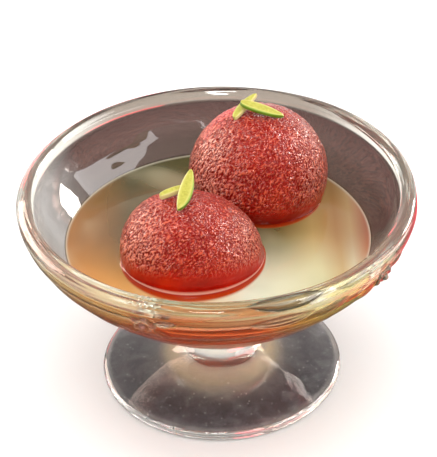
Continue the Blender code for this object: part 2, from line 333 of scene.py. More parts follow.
def add_node(material, kind, settings=None, values=None, links=None, stops=None):
    """One node, with its settings, its own values, its links and, on a ramp, its colour stops."""
    node = material.node_tree.nodes.new("ShaderNode" + kind)
    for name, value in (settings or {}).items():
        setattr(node, name, value)
    fill_in(material, node, values, links)
    if stops:
        elements = node.color_ramp.elements
        while len(elements) < len(stops):
            elements.new(0.5)
        for element, (place, colour) in zip(elements, stops):
            element.position = place
            element.color = linear(colour)
    return node


def new_material(name):
    """A material, its shader and its output."""
    material = bpy.data.materials.new(name)
    material.use_nodes = True
    nodes = material.node_tree.nodes
    return material, nodes["Principled BSDF"], nodes["Material Output"]


def put_in_scene(name, data):
    item = bpy.data.objects.new(name, data)
    bpy.context.scene.collection.objects.link(item)
    return item


def add_piece(name, mesh, material, stands_for):
    piece = put_in_scene(name, mesh)
    mesh.materials.append(material)
    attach(piece, "root")
    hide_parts(stands_for)
    return piece


def mesh_of(name, places, faces):
    mesh = bpy.data.meshes.new(name)
    mesh.from_pydata(places.tolist(), [], faces)
    mesh.update()
    mesh.shade_smooth()
    return mesh


def mesh_from(bm, name):
    mesh = bpy.data.meshes.new(name)
    bm.to_mesh(mesh)
    bm.free()
    return mesh


def mark(mesh, name, values):
    """Keeps a value at each point of a mesh, under a name that its finish reads."""
    mesh.attributes.new(name, "FLOAT", "POINT").data.foreach_set("value", values)


def turned_faces(rows, columns):
    """Faces of a turned form: rows of squares round it, closed by fans to its two middles.

    The two middles are its last vertices, after all the rows.
    """
    first_middle, last_middle = rows * columns, rows * columns + 1
    last = (rows - 1) * columns
    faces = []
    for column in range(columns):
        after = (column + 1) % columns
        faces.append((first_middle, column, after))
        for row in range(rows - 1):
            here, below = row * columns, (row + 1) * columns
            faces.append((here + column, below + column, below + after, here + after))
        faces.append((last + column, last_middle, last + after))
    return faces


def line_at(distance, width):
    """1 on a line and soft beside it, by the distance from it."""
    return np.exp(-((distance / width) ** 2))


# The dish's profile


def bezier(ends, handles, share):
    """Point and direction at this share of the way along one cubic curve in (radius, height)."""
    a, d = Vector(ends[0]), Vector(ends[1])
    b, c = Vector(handles[0]), Vector(handles[1])
    rest = 1 - share
    point = a * rest**3 + b * 3 * rest**2 * share + c * 3 * rest * share**2 + d * share**3
    along = (b - a) * rest**2 + (c - b) * 2 * rest * share + (d - c) * share**2
    return point, along.normalized()


def bezier_points(ends, handles, segments):
    return [bezier(ends, handles, i / segments)[0] for i in range(segments + 1)]


def arc_points(centre, radius, first_deg, last_deg, segments):
    step = math.radians(last_deg - first_deg) / segments
    turns = [math.radians(first_deg) + step * i for i in range(segments + 1)]
    return [Vector(centre) + Vector((math.cos(turn), math.sin(turn))) * radius for turn in turns]


def outer_wall(share):
    """The bowl's outer wall, from the lip at 0 to the top of the stem at 1."""
    return bezier(((RIM_RADIUS, RIM_LEVEL), STEM_TOP), OUTER_WALL_HANDLES, share)


def inner_wall(share):
    """The bowl's inner wall, from the lip at 0 to the middle of its floor at 1."""
    top = (RIM_RADIUS - LIP_THICKNESS, RIM_LEVEL)
    return bezier((top, (0.0, BOWL_BOTTOM_LEVEL)), INNER_WALL_HANDLES, share)


def outer_wall_at(level):
    """Where the outer wall passes this level, and its direction down the wall."""
    low, high = 0.0, 1.0
    for _ in range(LEVEL_HALVINGS):
        middle = (low + high) / 2
        if outer_wall(middle)[0].y > level:
            low = middle
        else:
            high = middle
    return outer_wall(low)


def dish_profile():
    """From the middle of the bowl's floor, up over the lip and down the outside, under the foot.

    It also says from which ring to which the wall's ornament may stand.
    """
    lip_radius = LIP_THICKNESS / 2
    edge_radius = FOOT_EDGE_THICKNESS / 2
    lip_centre = (RIM_RADIUS - lip_radius, RIM_LEVEL)
    edge_centre = (FOOT_RADIUS - edge_radius, edge_radius)
    hollow_ends = ((FOOT_RING_INNER_RADIUS, 0.0), (0.0, FOOT_HOLLOW_DEPTH))
    inner = [inner_wall(1 - i / INNER_RINGS)[0] for i in range(INNER_RINGS)]
    lip = arc_points(lip_centre, lip_radius, 180, 0, LIP_RINGS)
    shares = [(i / OUTER_RINGS) ** OUTER_RINGS_CROWDING for i in range(1, OUTER_RINGS + 1)]
    outer = [outer_wall(share)[0] for share in shares]
    neck = bezier_points((STEM_TOP, WAIST), NECK_HANDLES, NECK_RINGS)
    flare = bezier_points((WAIST, FOOT_CONE_TOP), FLARE_HANDLES, FLARE_RINGS)
    edge = arc_points(edge_centre, edge_radius, FOOT_EDGE_START_DEG, -90, FOOT_EDGE_RINGS)
    hollow = bezier_points(hollow_ends, FOOT_HOLLOW_HANDLES, FOOT_HOLLOW_RINGS)
    points = inner + lip + outer + neck[1:] + flare[1:] + edge + hollow[:-1]
    first_outer = len(inner) + len(lip)
    ornamented = slice(first_outer - ORNAMENT_LIP_RINGS, first_outer + len(outer))
    return np.array([tuple(point) for point in points]), ornamented


def column_bearings():
    """Bearings of the dish's mesh columns in radians, close together where the ornament is."""
    stretches = [
        np.linspace(first, last, round((last - first) / step), endpoint=False)
        for first, last, step in COLUMN_STRETCHES_DEG
    ]
    return np.radians(np.concatenate(stretches))


# The dish's ornament


def turned(x, y, turn_deg, reach):
    """Places in an ornament's own axes, turned and moved out from the middle of its spray."""
    turn = math.radians(turn_deg)
    return (
        x * math.cos(turn) + y * math.sin(turn) - reach,
        -x * math.sin(turn) + y * math.cos(turn),
    )


def flat_place(bearings, levels, bearing_deg, level, turn_deg, reach):
    """Each place on the wall in an ornament's own flat axes."""
    point, down = outer_wall_at(level)
    across = (bearings - math.radians(bearing_deg) + math.pi) % math.tau - math.pi
    return turned(across * point.x, (levels - level) / -down.y, turn_deg, reach)


def petal_form(distance, vein):
    """Height and rim of a pressed form: a low dome with a raised rim and a vein.

    The distance from its middle line is 1 at its edge.
    """
    rim = line_at(distance - RIM_PLACE, RIM_WIDTH)
    dome = np.sqrt(np.clip(1 - distance**2, 0, None))
    inside = distance < 1
    height = DOME_SHARE * dome + RIM_SHARE * rim * np.sqrt(dome) + VEIN_SHARE * vein
    return inside * height, inside * np.maximum(rim, vein)


def flower_form(x, y):
    """A low dome whose outline swells into petals, each with a rim and a vein, round a berry."""
    swell = (1 - np.cos(PETALS * np.arctan2(y, x))) / 2
    out = np.hypot(x, y) / (FLOWER_RADIUS * (1 - PETAL_DEPTH * swell))
    vein = np.exp(-(swell**2) / PETAL_VEIN_SPREAD) * (out > PETAL_VEIN_START)
    height, rim = petal_form(out, vein)
    berry = BERRY_RADIUS**2 - x**2 - y**2
    dome = BERRY_LIFT + np.sqrt(np.clip(berry, 0, None))
    return np.where(berry > 0, dome, height * FLOWER_HALF_HEIGHT), np.where(berry > 0, 1.0, rim)


def leaf_axes(x, y, size):
    """How far across the leaf each place is, 1 at its edge, and how far the leaf has tapered."""
    taper = np.clip(1 - (2 * x / size[0]) ** 2, 1e-6, None)
    return np.abs(2 * y / (size[1] * taper)), taper


def leaf_form(x, y, size):
    """A leaf whose width and height run to a point at both tips, with a rim and a vein."""
    length, height = size[0] / 2, size[2] / 2
    across, taper = leaf_axes(x, y, size)
    leaf, rim = petal_form(across, line_at(across, VEIN_WIDTH))
    inside = np.abs(x) < length
    return inside * height * taper * leaf, inside * rim * np.sqrt(taper)


def highest(forms):
    """The highest of several forms at each place, with that form's own rim."""
    height, rim = (np.zeros_like(part) for part in forms[0])
    for other, other_rim in forms:
        rim = np.where(other > height, other_rim, rim)
        height = np.maximum(height, other)
    return height, rim


def wall_ornament(bearings, levels):
    """How far the flowers and leaves stand out of the wall, and where their rims are."""
    forms = []
    for bearing_deg in FLOWER_BEARINGS_DEG:
        place = (bearing_deg, FLOWER_LEVEL)
        for turn_deg in SPRAY_LEAF_TURNS_DEG:
            flat = flat_place(bearings, levels, *place, turn_deg, SPRAY_LEAF_REACH)
            forms.append(leaf_form(*flat, SPRAY_LEAF))
        forms.append(flower_form(*flat_place(bearings, levels, *place, 0.0, 0.0)))
    for leaf in BAND_LEAVES:
        flat = flat_place(bearings, levels, leaf["bearing_deg"], leaf["level"], leaf["turn_deg"], 0.0)
        forms.append(leaf_form(*flat, leaf["size"]))
    return highest(forms)


def lip_flutes(bearings, lip_turns):
    """Height of the short upright flutes in the lip."""
    aside = np.degrees(bearings) - FLUTES["bearing_deg"]
    window = np.clip(1 - (aside / FLUTES["half_spread_deg"]) ** 2, 0, 1) * np.sin(lip_turns) ** 2
    return FLUTES["height"] * window * np.sin(math.tau * aside / FLUTES["step_deg"] + np.sin(aside))


def lip_ornament(bearings, lip_turns):
    """How far the leaves and flutes stand out of the lip, and where the leaves are painted dark, a painted
    shade.

    Their places are angles round the lip.
    """
    heights, shadows = [], []
    middle_radius = RIM_RADIUS - LIP_THICKNESS / 2
    for leaf in LIP_LEAVES:
        x = (bearings - math.radians(leaf["bearing_deg"])) * middle_radius
        y = (lip_turns - math.radians(leaf["lip_deg"])) * LIP_THICKNESS / 2
        flat = turned(x, y, leaf["turn_deg"], 0.0)
        heights.append(leaf_form(*flat, leaf["size"])[0])
        across, taper = leaf_axes(*flat, leaf["size"])
        outline = line_at(across - LEAF_OUTLINE_PLACE, LEAF_OUTLINE_WIDTH)
        shadow = np.maximum(outline, LEAF_SHADE * (across < 1)) * (taper > 1e-5)
        shadows.append(shadow * (1 - LEAF_VEIN_CLEARNESS * line_at(across, LEAF_VEIN_WIDTH)))
    return np.max(heights, axis=0) + lip_flutes(bearings, lip_turns), np.max(shadows, axis=0)


def melt(height):
    """Rounds the ornament's edges as fire-polishing does, over neighbouring rings and columns."""
    padded = np.pad(height, ((1, 1), (0, 0)), mode="edge")
    height = (padded[:-2] + 2 * height + padded[2:]) / 4
    return (np.roll(height, 1, 1) + 2 * height + np.roll(height, -1, 1)) / 4


def pressed_forms(around, levels, ornamented):
    """Height of all that is pressed into the glass, its rims, what lies inside it, and its painted shadows.
    """
    height, rims, inside, shadows = (np.zeros_like(levels) for _ in range(4))
    lip = slice(INNER_RINGS, INNER_RINGS + LIP_RINGS + 1)
    lip_turns = np.repeat(np.linspace(math.pi, 0, LIP_RINGS + 1)[:, None], levels.shape[1], 1)
    lip_bearings = (around[lip] + math.pi) % math.tau - math.pi
    height[lip], shadows[lip] = lip_ornament(lip_bearings, lip_turns)
    on_wall, rims[ornamented] = wall_ornament(around[ornamented], levels[ornamented])
    inside[ornamented] = on_wall > 0
    height[ornamented] = np.maximum(height[ornamented], on_wall)
    return melt(height), rims, inside, shadows


def waviness(around, lengths, radii, levels):
    """The faint ripples that the mould and the flame leave, strongest round the lip."""
    dice = np.random.default_rng(RIPPLE_SEED)
    ripple = np.zeros_like(lengths)
    for share in np.linspace(0.0, 1.0, RIPPLES):
        turns = dice.integers(0, 4)
        wavelength = LONGEST_RIPPLE * (SHORTEST_RIPPLE / LONGEST_RIPPLE) ** share
        phase, side = dice.uniform(0, math.tau), dice.choice((-1, 1))
        wander = RIPPLE_WANDER * np.sin(dice.integers(1, 5) * around + dice.uniform(0, math.tau))
        wave = side * turns * around + math.tau * lengths / wavelength + phase + wander
        ripple += np.sin(wave) * (wavelength / LONGEST_RIPPLE)
    near_lip = np.clip((levels - RIPPLE_LEVEL) / (RIM_LEVEL - RIPPLE_LEVEL), 0, 1)
    ripple *= WALL_RIPPLE + (LIP_RIPPLE - WALL_RIPPLE) * near_lip**2
    ripple *= np.where(np.arange(len(levels)) < INNER_RINGS, INSIDE_SHARE, 1.0)[:, None]
    # None on the ring that the foot stands on, nor at the two middles
    rippled = (levels > RIPPLE_LOWEST) & (radii > RIPPLE_INNERMOST)
    return np.where(rippled, ripple * np.clip(radii / RIPPLE_FULL_RADIUS, 0, 1), 0)


def darkness(height, run_down, run_across, rims, inside, shadows):
    """The ornament's painted shade: dark at its steep sides, and in the hollows between rims and veins."""
    rise_down, rise_across = np.gradient(height)
    painted_ornament_shade = np.clip(np.hypot(rise_down / run_down, rise_across / run_across) / STEEPEST, 0, 1) ** 2
    hollows = HOLLOW_SHADE * inside * (1 - rims)
    return np.maximum(np.maximum(painted_ornament_shade * (1 - RIM_CLEARNESS * rims), hollows), shadows)


def build_dish(glass):
    profile, ornamented = dish_profile()
    bearings = column_bearings()
    rings, columns = len(profile), len(bearings)
    radii = np.repeat(profile[:, :1], columns, 1)
    levels = np.repeat(profile[:, 1:], columns, 1)
    around = np.repeat(bearings[None, :], rings, 0)
    along = np.gradient(profile, axis=0)
    along /= np.linalg.norm(along, axis=1)[:, None]
    outward = np.stack((-along[:, 1], along[:, 0]), 1)
    lengths = np.concatenate(([0], np.cumsum(np.linalg.norm(np.diff(profile, axis=0), axis=1))))
    height, rims, inside, shadows = pressed_forms(around, levels, ornamented)
    ripple = waviness(around, np.repeat(lengths[:, None], columns, 1), radii, levels)
    radii = radii + outward[:, :1] * (height + ripple)
    levels = levels + outward[:, 1:] * (height + ripple)
    places = np.stack((radii * np.cos(around), radii * np.sin(around), levels), 2)
    middles = [[0, 0, BOWL_BOTTOM_LEVEL], [0, 0, FOOT_HOLLOW_DEPTH]]
    vertices = np.concatenate((places.reshape(-1, 3)[columns:], middles))
    mesh = mesh_of("dessert_dish", vertices, turned_faces(rings - 1, columns))
    # 1 on the inner wall, fading out over the lip, for the glass's tint, whose painted shade differs inside
    # and out
    inner_side = np.clip(1 - (np.arange(rings) - INNER_RINGS) / LIP_RINGS, 0, 1)
    mark(mesh, "inside", np.concatenate((np.repeat(inner_side[1:], columns), [1.0, 0.0])))
    run_across = np.maximum(radii * np.gradient(np.unwrap(bearings)), 1e-6)
    # The ornament's painted shade, which the glass's finish paints dark olive, and its rims, which it
    # paints bright
    dark = darkness(height, np.gradient(lengths)[:, None], run_across, rims, inside, shadows)
    for name, values in (("painted_ornament_shade", dark), ("rim", rims)):
        mark(mesh, name, np.concatenate((values.reshape(-1)[columns:], [0.0, 0.0])))
    return add_piece("dessert_dish", mesh, glass, "dessert_glass")


# Sweets


def jamun_place(way, shape, grow):
    """Where the ball's plain surface lies in this direction, grown outwards by this distance."""
    half_width, half_depth, half_up, half_down = shape["half_sizes"]
    lumps = 1 + SKIN_UNEVENNESS * noise.noise(way * LUMPS_ACROSS + Vector((shape["seed"], 0.0, 0.0)))
    half_height = half_up if way.z > 0 else half_down
    out = Vector((way.x * half_width, way.y * half_depth, way.z * half_height)) * lumps
    return out + out.normalized() * grow


def jamun_tilt(shape):
    return Euler([math.radians(angle) for angle in shape["tilt_deg"]], "XYZ").to_matrix()


def ball_of_squares(cuts):
    """Directions and square faces of an even ball: the six sides of a cube, blown up."""
    bm = bmesh.new()
    bmesh.ops.create_cube(bm, size=2.0)
    bmesh.ops.subdivide_edges(bm, edges=bm.edges, cuts=cuts, use_grid_fill=True)
    for vertex in bm.verts:
        spread = [math.tan(side * math.pi / 4) for side in vertex.co]
        vertex.co = Vector(spread).normalized()
    return bm


def plain_jamun(shape, cuts, grow):
    """The ball without its wrinkles, in its place in the dish."""
    bm = ball_of_squares(cuts)
    tilt = jamun_tilt(shape)
    for vertex in bm.verts:
        vertex.co = tilt @ jamun_place(vertex.co, shape, grow) + Vector(shape["centre"])
    return bm


def skin_height(place, seed):
    """Wrinkles of the fried skin at a place on the ball, in metres."""
    there = Vector((place.x + seed, place.y + seed * 2, place.z * WRINKLE_STRETCH))
    bent = there + noise.noise_vector(there / WRINKLE_SIZE) * WRINKLE_SIZE * WRINKLE_WARP
    coarse = 1 - WRINKLE_SHARPNESS * abs(noise.noise(bent / WRINKLE_SIZE))
    fine = 1 - WRINKLE_SHARPNESS * abs(noise.noise(bent / GRAIN_SIZE + Vector(GRAIN_OFFSET)))
    return WRINKLE_HEIGHT * (coarse - WRINKLE_MEAN) + GRAIN_HEIGHT * (fine - WRINKLE_MEAN)


def smooth_step(low, high, value):
    share = min(1.0, max(0.0, (value - low) / (high - low)))
    return share * share * (3 - 2 * share)


def build_jamun(name, node, shape, skin):
    tilt = jamun_tilt(shape)
    centre = Vector(shape["centre"])
    bm = ball_of_squares(SKIN_CUTS)
    dryness = bm.verts.layers.float.new("dryness")
    for vertex in bm.verts:
        plain = jamun_place(vertex.co, shape, 0.0)
        there = tilt @ plain + centre
        # A film of syrup smooths the skin at the waterline, higher up in front
        film = SYRUP_LEVEL + FILM_HEIGHT - FILM_SLOPE * (there.y - centre.y) / shape["half_sizes"][1]
        dry = smooth_step(film + FILM_FADE[0], film + FILM_FADE[1], there.z)
        vertex[dryness] = dry
        height = skin_height(plain, shape["seed"]) * (WET_WRINKLES + (1 - WET_WRINKLES) * dry)
        vertex.co = tilt @ (plain + plain.normalized() * height) + centre
    mesh = mesh_from(bm, name)
    mesh.shade_smooth()
    return add_piece(name, mesh, skin, node)


# Syrup


def waterline(shape):
    """The sweet's outline at the syrup's level, as a distance from its centre by bearing."""
    bm = plain_jamun(shape, WATERLINE_CUTS, 0.0)
    cut = bmesh.ops.bisect_plane(
        bm,
        geom=bm.verts[:] + bm.edges[:] + bm.faces[:],
        plane_co=(0.0, 0.0, SYRUP_LEVEL),
        plane_no=(0.0, 0.0, 1.0),
    )
    line = [item.co.copy() for item in cut["geom_cut"] if isinstance(item, bmesh.types.BMVert)]
    bm.free()
    middle = sum(line, Vector()) / len(line)
    polar = sorted((math.atan2(p.y - middle.y, p.x - middle.x), (p - middle).xy.length) for p in line)
    return middle, np.array(polar)


def gap_beside(places, middle, polar):
    """How far each place is from the sweet's waterline, and how much it faces the front."""
    x, y = places[..., 0] - middle.x, places[..., 1] - middle.y
    out = np.hypot(x, y)
    edge = np.interp(np.arctan2(y, x), polar[:, 0], polar[:, 1], period=math.tau)
    return np.clip(out - edge, 0, None), np.clip(-y / np.maximum(out, 1e-6), 0, 1)


def rise_beside(places, middle, polar):
    """Height of the meniscus that the syrup forms against a sweet."""
    return SWEET_MENISCUS * np.exp(-gap_beside(places, middle, polar)[0] / MENISCUS_REACH)


def syrup_section():
    """The syrup's outer side, from its shore down to the middle of the bowl's floor."""
    below = []
    for i in range(INNER_RINGS * 2 + 1):
        point, along = inner_wall(i / INNER_RINGS / 2)
        into_wall = point - Vector((along.y, -along.x)) * WALL_OVERLAP
        below.append(Vector((max(into_wall.x, 0.0), into_wall.y)))
    level = SYRUP_LEVEL + WALL_MENISCUS
    first = next(i for i, point in enumerate(below) if point.y < level)
    above, under = below[first - 1], below[first]
    shore = above.lerp(under, (above.y - level) / (above.y - under.y))
    return [shore] + below[first:-1]


def build_syrup(syrup_finish):
    section = syrup_section()
    shore = section[0].x
    bearings = np.linspace(-math.pi, math.pi, SYRUP_COLUMNS, endpoint=False)
    steps = np.linspace(0, 1, SYRUP_RINGS + 1)[1:]
    around, out = np.meshgrid(bearings, shore * (1 - (1 - steps) ** SYRUP_RINGS_CROWDING))
    top = np.stack((out * np.cos(around), out * np.sin(around), np.zeros_like(out)), 2)
    lines = [waterline(shape) for shape in JAMUNS]
    rise = sum(rise_beside(top, *line) for line in lines)
    rise += WALL_MENISCUS * np.exp(-(shore - out) / MENISCUS_REACH)
    rise[-1] = WALL_MENISCUS
    top[..., 2] = SYRUP_LEVEL + rise
    side = np.array(
        [[(p.x * math.cos(b), p.x * math.sin(b), p.y) for b in bearings] for p in section[1:]]
    )
    middle_rise = float(sum(rise_beside(np.zeros(3), *line) for line in lines))
    middles = [[0, 0, SYRUP_LEVEL + middle_rise], [0, 0, BOWL_BOTTOM_LEVEL - WALL_OVERLAP]]
    grid = np.concatenate((top, side))
    vertices = np.concatenate((grid.reshape(-1, 3), middles))
    mesh = mesh_of("sugar_syrup", vertices, turned_faces(len(grid), SYRUP_COLUMNS))
    return add_piece("sugar_syrup", mesh, syrup_finish, "syrup")


def cut_for_sweets(piece):
    """Takes the sweets' room out of the syrup, a little inside their skin, so no gap shows."""
    for shape in JAMUNS:
        mesh = mesh_from(plain_jamun(shape, ROOM_CUTS, -SWEET_OVERLAP), "room_for_a_sweet")
        room = put_in_scene("room_for_a_sweet", mesh)
        cut = piece.modifiers.new("room", "BOOLEAN")
        cut.operation = "DIFFERENCE"
        cut.solver = "EXACT"
        cut.object = room
        depsgraph = bpy.context.evaluated_depsgraph_get()
        result = bpy.data.meshes.new_from_object(piece.evaluated_get(depsgraph))
        piece.modifiers.clear()
        piece.data = result
        bpy.data.objects.remove(room)
        bpy.data.meshes.remove(mesh)
    piece.data.shade_smooth()
    piece.data.set_sharp_from_angle(angle=math.radians(SYRUP_SHARPEST_BEND_DEG))


def mark_shores(mesh):
    """Marks how near each point of the syrup is to a sweet, and to the glass at its surface."""
    places = np.empty(len(mesh.vertices) * 3)
    mesh.vertices.foreach_get("co", places)
    places = places.reshape(-1, 3)
    near = np.zeros(len(places))
    for shape in JAMUNS:
        # The painted red of the sunk flank, seen through the syrup, is widest in front, where the eye meets
        # it
        gap, facing = gap_beside(places, *waterline(shape))
        reach = shape["red_reach"] * (RED_BEHIND + (1 - RED_BEHIND) * facing**RED_GROWTH)
        near = np.maximum(near, np.exp(-gap / reach))
    mark(mesh, "beside_sweet", near)
    out = np.hypot(places[:, 0], places[:, 1])
    beside_wall = np.exp(-np.clip(syrup_section()[0].x - out, 0, None) / MENISCUS_REACH)
    mark(mesh, "beside_wall", beside_wall * (places[:, 2] > SYRUP_LEVEL - SHORE_DEPTH))


# Slivers


def tip_corners(x, width, bluntness):
    """A tip and its two handles, on the skin side and on the cut side."""
    middle = TIP_OFFSET * width * bluntness
    skin_reach = (SKIN_CORNER[0] + SKIN_CORNER[1] * bluntness) * width
    cut_reach = (CUT_CORNER[0] + CUT_CORNER[1] * bluntness) * width
    return (x, middle), (x, middle + skin_reach), (x, middle - cut_reach)


def sliver_sides(shape, length):
    """The outline's skin side and cut side, each from the first tip to the last."""
    width = shape["width"]
    half = length / 2
    bow = shape["bow_place"] * half
    first, first_skin, first_cut = tip_corners(-half, width, shape["bluntness"][0])
    last, last_skin, last_cut = tip_corners(half, width, shape["bluntness"][1])

    def side(middle, first_handle, last_handle):
        a, b = middle[0] - SIDE_FULLNESS * half, middle[0] + SIDE_FULLNESS * half
        near = bezier_points((first, middle), (first_handle, (a, middle[1])), SLIVER_STEPS)
        far = bezier_points((middle, last), ((b, middle[1]), last_handle), SLIVER_STEPS)
        return near + far[1:]

    skin = side((bow, SKIN_SIDE * width), first_skin, last_skin)
    cut = side((0.0, CUT_SIDE * width), first_cut, last_cut)
    return skin, cut


def sliver_axes(shape):
    """The sliver's length, and the way from its own flat axes to its place on the sweet."""
    tip_a, tip_b = (Vector(tip) for tip in shape["tips"])
    along = (tip_b - tip_a).normalized()
    side = Vector((0.0, 0.0, 1.0)).cross(along).normalized()
    axes = Matrix((along, side, along.cross(side))).transposed().to_4x4()
    roll = Matrix.Rotation(math.radians(shape["roll_deg"]), 4, "X")
    return (tip_b - tip_a).length, Matrix.Translation((tip_a + tip_b) / 2) @ axes @ roll


def squared(part, power):
    return math.copysign(abs(part) ** power, part)


def build_sliver(name, shape, material):
    length, to_world = sliver_axes(shape)
    bow = math.radians(SLIVER_BEND_DEG) / length / 2
    half_thickness = shape["thickness"] / 2
    grit_start = Vector((shape["width"] * GRIT_STRIDE, 0, 0))
    bm = bmesh.new()
    rind = bm.verts.layers.float.new("rind")
    rings = []
    for skin, cut in list(zip(*sliver_sides(shape, length)))[1:-1]:
        middle, reach = (skin + cut) / 2, (skin - cut) / 2
        # The slice keeps its thickness to near the tips, where its corners are rounded
        thick = half_thickness * min(1.0, (reach.length / half_thickness / TIP_ROUNDING) ** 0.5)
        ring = []
        for point in range(SLIVER_POINTS):
            angle = math.tau * point / SLIVER_POINTS
            across = squared(math.cos(angle), EDGE_SQUARENESS)
            up = squared(math.sin(angle), FACE_SQUARENESS)
            flat = middle + reach * across
            place = Vector((flat.x, flat.y, thick * up))
            grit = noise.noise(place / GRIT_SIZE + grit_start)
            place += Vector((0.0, across, up)).normalized() * grit * GRIT_HEIGHT
            place.z += bow * ((length / 2) ** 2 - place.x**2)
            vertex = bm.verts.new(to_world @ place)
            vertex[rind] = across
            ring.append(vertex)
        rings.append(ring)
    for near, far in zip(rings, rings[1:]):
        for point in range(SLIVER_POINTS):
            after = (point + 1) % SLIVER_POINTS
            bm.faces.new((near[point], far[point], far[after], near[after]))
    bm.faces.new(rings[0])
    bm.faces.new(rings[-1][::-1])
    bmesh.ops.recalc_face_normals(bm, faces=bm.faces)
    mesh = mesh_from(bm, name)
    mesh.shade_smooth()
    return add_piece(name.replace("sliver", "slice"), mesh, material, name)


# Glass


def painted_reflection_bands(material, height, leftwards, rightwards):
    """Painted reflection: what the front of the bowl shows of its contents, painted into its tint in bands
    between paler lines.

    Orange-red from the sweets in the middle, tan from the syrup at the left, straw at the right; the paler
    lines are painted highlights and the darkest ones painted shade.
    """
    red_bands = add_node(
        material,
        "ValToRGB",
        links={"Fac": height},
        stops=(
            (0.60, "#E04810"),
            (0.775, "#F05818"),
            (0.786, "#F4DCB0"),
            (0.797, "#E85420"),
            (0.878, "#DC602C"),
            (0.890, "#F4E8C8"),
            (0.902, "#402414"),
            (0.914, "#905030"),
            (0.942, "#9C6C48"),
            (0.960, "#B8B894"),
        ),
    )
    tan_bands = add_node(
        material,
        "ValToRGB",
        links={"Fac": height},
        stops=(
            (0.60, "#C4401C"),
            (0.76, "#BC5C2C"),
            (0.80, "#A8844C"),
            (0.878, "#B08C54"),
            (0.890, "#F4ECD0"),
            (0.902, "#584424"),
            (0.914, "#B49060"),
            (0.942, "#D8C898"),
            (0.960, "#F4F2E4"),
        ),
    )
    straw_bands = add_node(
        material,
        "ValToRGB",
        links={"Fac": height},
        stops=(
            (0.60, "#B88028"),
            (0.72, "#D0A040"),
            (0.82, "#D8BC54"),
            (0.866, "#CCB050"),
            (0.876, "#5C5024"),
            (0.886, "#F4F0D0"),
            (0.960, "#F8F6E8"),
        ),
    )
    left_part = add_node(
        material, "Mix", COLOURS, links={"Factor": leftwards, "A": red_bands, "B": tan_bands}
    )
    return add_node(
        material, "Mix", COLOURS, links={"Factor": rightwards, "A": left_part, "B": straw_bands}
    )


def bowl_cast(material, x, y, z, leftwards, rightwards):
    """The bowl's tint, painted with light and shade: painted shade inside at the back and right, and
    painted reflections in bands outside at the front.
    """
    height = add_node(
        material, "MapRange", None, {"From Min": 0.0, "From Max": DISH_TOP_LEVEL}, {"Value": z}
    )
    # The painted shade of the inner wall deepens towards the back and the right
    behind = add_node(material, "Math", {"operation": "MULTIPLY_ADD"}, {1: 0.35}, {0: x, 2: y})
    depth = add_node(
        material, "MapRange", EASED, {"From Min": -0.022, "From Max": 0.018}, {"Value": behind}
    )
    # Painted shade of the inner wall by height, darkest above the syrup
    painted_shade_inside = add_node(
        material,
        "ValToRGB",
        links={"Fac": height},
        stops=(
            (0.3, "#C0B090"),
            (0.66, "#A89880"),
            (0.73, "#42342E"),
            (0.82, "#2A1A16"),
            (0.93, "#201210"),
        ),
    )
    # Towards the front the inner wall's painted shade clears
    ahead = add_node(material, "MapRange", EASED, {"From Min": -0.016, "From Max": -0.030}, {"Value": y})
    nearer = add_node(
        material, "Mix", COLOURS, {"A": linear("#868482"), "B": linear("#F8F6EC")}, {"Factor": ahead}
    )
    wall_inside = add_node(
        material, "Mix", COLOURS, links={"Factor": depth, "A": nearer, "B": painted_shade_inside}
    )
    # Outside, painted shade at the back and sides, and painted reflections in bands at the front
    front = add_node(material, "MapRange", EASED, {"From Min": -0.010, "From Max": -0.034}, {"Value": y})
    painted_shade_outside = add_node(
        material,
        "ValToRGB",
        links={"Fac": height},
        stops=(
            (0.3, "#C0B090"),
            (0.66, "#B0A088"),
            (0.70, "#7C6A62"),
            (0.76, "#A0948C"),
            (0.81, "#F0EEEA"),
        ),
    )
    sides = add_node(
        material, "Mix", COLOURS, {"A": linear("#F0EEEA")}, {"Factor": depth, "B": painted_shade_outside}
    )
    # The painted reflection bands at the front
    bands = painted_reflection_bands(material, height, leftwards, rightwards)
    wall_outside = add_node(material, "Mix", COLOURS, links={"Factor": front, "A": sides, "B": bands})
    inside = add_node(material, "Attribute", {"attribute_name": "inside"}).outputs["Fac"]
    return add_node(
        material, "Mix", COLOURS, links={"Factor": inside, "A": wall_outside, "B": wall_inside}
    )


def lip_cast(material, y, leftwards, rightwards):
    """The lip is clear, with a painted tint: greyer green at the front middle, green-cream to the sides,
    and painted shade at the back.
    """
    to_one_side = add_node(
        material, "Math", {"operation": "ADD"}, links={0: leftwards, 1: rightwards}
    )
    near = add_node(
        material, "Mix", COLOURS, {"A": linear("#A8B088"), "B": linear("#F8F8EA")}, {"Factor": to_one_side}
    )
    # Painted shade: the lip is painted dark at the back
    back = add_node(material, "MapRange", EASED, {"From Min": 0.020, "From Max": 0.048}, {"Value": y})
    return add_node(material, "Mix", COLOURS, {"B": linear("#6E6054")}, {"Factor": back, "A": near})


def ornament_cast(material, x, plain):
    """The pressed ornament's rims are painted clear and bright, a painted highlight, and its steep edges
    dark olive, a painted shade.
    """
    rim = add_node(material, "Attribute", {"attribute_name": "rim"}).outputs["Fac"]
    # Painted highlight: the rims are painted near white
    rimmed = add_node(material, "Mix", COLOURS, {"B": linear("#FFFCEC")}, {"Factor": rim, "A": plain})
    # The painted shade is less dark at the far right, where more light comes through
    how_dark = add_node(
        material,
        "MapRange",
        EASED,
        {"From Min": 0.030, "From Max": 0.046, "To Min": 1.0, "To Max": 0.35},
        {"Value": x},
    )
    # Painted shade: steep sides and hollows are painted dark olive
    painted_ornament_shade = add_node(material, "Attribute", {"attribute_name": "painted_ornament_shade"}).outputs["Fac"]
    darkened = add_node(material, "Math", TIMES, links={0: painted_ornament_shade, 1: how_dark})
    return add_node(material, "Mix", COLOURS, {"B": linear("#0C0A04")}, {"Factor": darkened, "A": rimmed})


